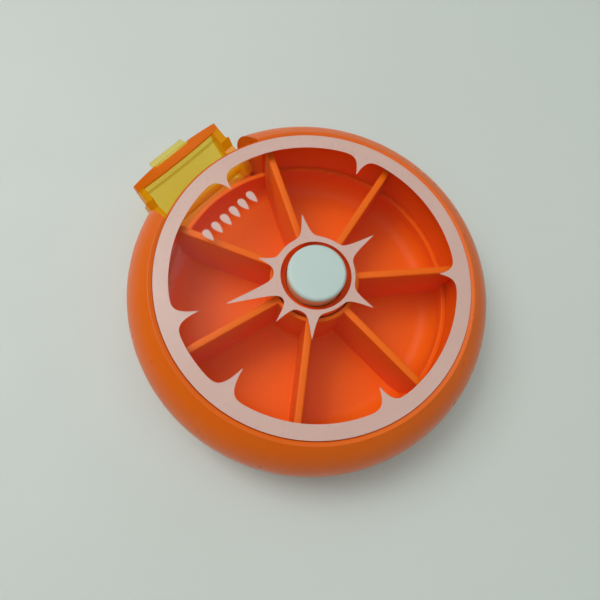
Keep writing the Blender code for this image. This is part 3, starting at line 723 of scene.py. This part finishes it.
def colour_door(door):
    """Splits the closed door's faces at its regions' edges and gives each region its material."""
    shape = bmesh.new()
    shape.from_mesh(door.data)
    across = [(x, (1, 0, 0)) for x in (-HOLLOW_HALF, HOLLOW_HALF, -TAB_HALF, TAB_HALF)]
    level = [(z, (0, 0, 1)) for z in (DOOR_RIM_Z, TAB_FOOT_Z)]
    for offset, normal in across + level:
        everything = shape.verts[:] + shape.edges[:] + shape.faces[:]
        bmesh.ops.bisect_plane(shape, geom=everything, dist=0.0001 * MM,
                               plane_co=Vector(normal) * offset * MM, plane_no=normal)
    panel, crease, rim, cheek, tab = range(5)
    panel_low_r, skin, hair = SIDE_RING_R + 7.0, 0.4, 0.01
    panel_arc_r = SIDE_R - DOOR_PANEL
    crease_arc_r = panel_arc_r - DOOR_CREASE
    crease_low = SIDE_R + crease_arc_r * math.sin(math.radians(CREASE_LOW_DEG))
    crease_high = SIDE_R + panel_arc_r * math.sin(math.radians(CREASE_TOP_DEG))
    for face in shape.faces:
        middle = face.calc_center_median() / MM
        radius, out = math.hypot(middle.x, middle.y), abs(middle.x)
        if out < HOLLOW_HALF - hair and middle.z < DOOR_RIM_Z - hair and radius > panel_low_r:
            inside = math.hypot(radius - SIDE_RING_R, middle.z - SIDE_R) < SIDE_R - skin
            on_crease = inside and crease_low < middle.z < crease_high
            face.material_index = crease if on_crease else panel
        elif middle.z > TAB_FOOT_Z and out < TAB_HALF + 10 * hair:
            face.material_index = tab
        else:
            face.material_index = rim if middle.z > DOOR_RIM_Z else cheek
    shape.to_mesh(door.data)
    shape.free()


def outlet_door():
    """The amber bucket with its thick rim, cheeks, pins, hinge bar and finger tab.

    It is made closed, where its outside follows the case's, and then turned open about its pins.
    """
    door = keep(turned("door_bucket", door_stock()), door_outline())
    hollow = turned("door_hollow", door_hollow())
    hollow = keep(hollow, door_side_slab("hollow_width", -HOLLOW_HALF, HOLLOW_HALF))
    door = cut(door, hollow)
    door = join(door, door_tab())
    bar_half = DOOR_HALF - DOOR_CHEEK / 2
    door = join(door, hinge_rods("bar", BARREL_R, [(-bar_half, bar_half)]))
    spans = [(-NOTCH_HALF - 1.0, -DOOR_HALF + 1.0), (DOOR_HALF - 1.0, NOTCH_HALF + 1.0)]
    door = join(door, hinge_rods("pins", PIN_R, spans))
    finish_piece(door, "door", [AMBER_PANEL, AMBER_CREASE, AMBER_EDGE, AMBER_CHEEK, AMBER_THIN],
                 "amber_plastic", "outlet_door")
    colour_door(door)
    pivot = Matrix.Translation(PIVOT * MM)
    door.data.transform(pivot @ Matrix.Rotation(DOOR_OPEN, 4, "X") @ pivot.inverted())
    return smooth(door)


# ----------------------------------------------------------------------------------- printed layer
# One spike of the pith: where it stands (degrees), its tip's radius, and the half width of its foot
# (degrees).
RING_SPIKES = [(202.9, 27.65, 20), (136.4, 28.80, 20), (72.4, 28.18, 20), (7.4, 26.24, 20),
               (333.3, 27.02, 20), (268.0, 28.35, 20)]
STAR_SPIKES = [(236.2, 15.34, 36), (171.0, 17.23, 37), (104.4, 14.98, 36), (39.9, 15.01, 34),
               (5.1, 14.29, 30), (334.0, 21.48, 38), (298.6, 13.74, 32)]
RING_SHARPNESS = 10.5
STAR_SHARPNESS = 7.5
RING_OUT_R = 36.2
RING_IN_R = 32.85
STAR_R = 9.3
STAR_CENTRE = Vector((0.0, -0.35))
INK_THICK = 0.03
PRINT_SAMPLES = 1440


def spike_share(angle_deg, centre_deg, half_deg, sharpness):
    """Returns how far out a spike reaches at an angle, from 0 to 1 at its tip."""
    away = abs((angle_deg - centre_deg + 180) % 360 - 180) / half_deg
    return (1 - away) ** sharpness if away < 1 else 0.0


def print_edge(base_r, spikes, sharpness, centre=Vector((0.0, 0.0))):
    """Returns the print's wavy edge: a circle drawn out into spikes."""
    edge = []
    reaches = []
    for centre_deg, tip_r, half in spikes:
        turn = math.radians(centre_deg)
        tip = Vector((tip_r * math.cos(turn), tip_r * math.sin(turn))) - centre
        reaches.append((math.degrees(math.atan2(tip.y, tip.x)), tip.length, half))
    for i in range(PRINT_SAMPLES):
        angle = 360 * i / PRINT_SAMPLES
        radius = base_r
        for tip_deg, reach, half in reaches:
            radius += (reach - base_r) * spike_share(angle, tip_deg, half, sharpness)
        turn = math.radians(angle)
        edge.append((centre.x + radius * math.cos(turn), centre.y + radius * math.sin(turn)))
    return edge


def ink_shape(name, loops, closed):
    """Makes a thin solid of ink on the cover, between two edges or inside one."""
    shape = bmesh.new()
    levels = (COVER_TOP + 0.002, COVER_TOP + INK_THICK)
    walls = []
    for loop in loops:
        walls.append([[shape.verts.new((x * MM, y * MM, z * MM)) for x, y in loop]
                      for z in levels])
    for bottom, top in walls:
        for i in range(len(top)):
            shape.faces.new((bottom[i - 1], bottom[i], top[i], top[i - 1]))
    if closed:
        for bottom_or_top in walls[0]:
            shape.faces.new(bottom_or_top)
    else:
        for level in (0, 1):
            first, second = walls[0][level], walls[1][level]
            for i in range(len(first)):
                shape.faces.new((first[i - 1], first[i], second[i], second[i - 1]))
    bmesh.ops.recalc_face_normals(shape, faces=shape.faces)
    return finish_piece(from_bmesh(name, shape), "case", [INK], "clear_plastic")


def pith_print():
    """The citrus pattern: an outer ring with spikes inwards and a star round the button."""
    ring = print_edge(RING_IN_R, RING_SPIKES, RING_SHARPNESS)
    star = print_edge(STAR_R, STAR_SPIKES, STAR_SHARPNESS, STAR_CENTRE)
    ring_outside = print_edge(RING_OUT_R, [], 1)
    star_inside = print_edge(COVER_HOLE_R + 0.13, [], 1)
    ink_shape("pith_ring", [ring, ring_outside], closed=False)
    ink_shape("pith_star", [star_inside, star], closed=False)


def pip_row():
    """A short row of drop-shaped pips between two points by the door."""
    start = Vector((24.0, 0.0))
    start.rotate(Matrix.Rotation(math.radians(262.5), 2))
    end = Vector((26.0, 0.0))
    end.rotate(Matrix.Rotation(math.radians(294.5), 2))
    count, length, width, pinch, widest, parts = 6, 3.4, 2.0, 0.55, 1.24, 32
    for i in range(count):
        centre = start.lerp(end, i / (count - 1))
        outline = []
        for step in range(parts):
            angle = 2 * math.pi * step / parts
            taper = (1 - pinch * math.cos(angle)) / widest
            across, along = width / 2 * math.sin(angle) * taper, length / 2 * math.cos(angle)
            outline.append((centre.x - across, centre.y + along))
        ink_shape(f"pip_{i + 1}", [outline], closed=True)


# ---------------------------------------------------------------------------- pieces out of sight
def return_spring():
    """The coil spring under the button, copied from its CAD node as one fixed shape."""
    node = frame["nodes"]["return_spring"]
    spring = place("coil_spring", node.data.copy())
    spring.matrix_world = node.matrix_world.copy()
    finish_piece(smooth(spring, 60), "case", [STEEL], "spring_steel", "return_spring")
    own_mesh(spring)


def keep_cad_piece(node, material):
    """Keeps a CAD piece's shape and gives it its finished material."""
    kept = frame["nodes"][node]
    kept.data.materials.clear()
    kept.data.materials.append(material)


# ------------------------------------------------------------------------------- floor and lighting
def floor():
    """The pale table, which curves up into a pale wall far behind the case on every side."""
    reach, curve, height, thick = 1500.0, 600.0, 1700.0, 20.0
    outline = [(0.0, 0.0), (reach, 0.0)]
    outline += arc(reach, curve, curve, -84, -6, 13)
    outline += [(reach + curve, curve), (reach + curve, height)]
    outline += [(reach + curve + thick, height), (reach + curve + thick, -thick), (0.0, -thick)]
    table = smooth(turned("table_top", outline, steps=96, on_axis=True))
    table.data.materials.append(TABLE)


def soft_light(name, centre, size, power, colour):
    """Adds a square soft light aimed at the case."""
    lamp = bpy.data.lights.new(name, "AREA")
    lamp.shape = "SQUARE"
    lamp.size = size
    lamp.energy = power
    lamp.color = colour
    made = bpy.data.objects.new(name, lamp)
    bpy.context.scene.collection.objects.link(made)
    made.location = centre
    made.rotation_euler = Vector(centre).to_track_quat("Z", "Y").to_euler()


def glow(nodes, links, direction, start_deg, end_deg, strength):
    """Adds a soft patch of light to the room: 0 past one angle from a direction, full inside the
    other."""
    place_node = nodes.new("ShaderNodeTexCoord")
    near = nodes.new("ShaderNodeVectorMath")
    near.operation = "DOT_PRODUCT"
    near.inputs[1].default_value = Vector(direction).normalized()
    fade = nodes.new("ShaderNodeMapRange")
    fade.interpolation_type = "SMOOTHSTEP"
    fade.inputs["From Min"].default_value = math.cos(math.radians(start_deg))
    fade.inputs["From Max"].default_value = math.cos(math.radians(end_deg))
    fade.inputs["To Max"].default_value = strength
    links.new(place_node.outputs["Generated"], near.inputs[0])
    links.new(near.outputs["Value"], fade.inputs["Value"])
    return fade.outputs["Result"]


def lighting():
    """A dim room with a wide soft ceiling, a brighter patch in it and one window-like light."""
    world = bpy.data.worlds.new("soft_room")
    bpy.context.scene.world = world
    world.use_nodes = True
    nodes, links = world.node_tree.nodes, world.node_tree.links
    room = nodes["Background"]
    room.inputs["Color"].default_value = (0.93, 1.0, 0.95, 1.0)
    total = nodes.new("ShaderNodeMath")
    total.operation = "ADD"
    links.new(glow(nodes, links, (0.06, -0.26, 0.96), 62, 6, 0.84), total.inputs[0])
    links.new(glow(nodes, links, (-0.06, -0.40, 0.92), 18, 3, 2.0), total.inputs[1])
    dim_room = nodes.new("ShaderNodeMath")
    dim_room.operation = "ADD"
    dim_room.inputs[1].default_value = 0.10
    links.new(total.outputs["Value"], dim_room.inputs[0])
    links.new(dim_room.outputs["Value"], room.inputs["Strength"])
    soft_light("window_light", (0.10, -0.32, 0.50), 0.26, 1.15, (1.0, 0.99, 0.96))


def camera():
    """Looks down on the case from nearly above, turned so that the door is at the upper left."""
    lens = bpy.data.cameras.new("camera")
    lens.lens = 29.69
    lens.clip_start = 0.01
    made = bpy.data.objects.new("camera", lens)
    bpy.context.scene.collection.objects.link(made)
    made.location = Vector((35.42, 15.032, 129.567)) * MM
    made.rotation_euler = [math.radians(angle) for angle in (15.763, -5.468, 134.0)]
    bpy.context.scene.camera = made


def main():
    bpy.context.scene.view_settings.view_transform = "Standard"
    camera()
    floor()
    lighting()
    lower_shell()
    centre_post()
    upper_shell()
    clear_cover()
    pill_wheel()
    hub_cap()
    push_button()
    outlet_door()
    pith_print()
    pip_row()
    keep_cad_piece("plunger", ACETAL)
    keep_cad_piece("drive_ring", ACETAL)
    return_spring()
    keep_cad_piece("index_spring", STEEL)


main()
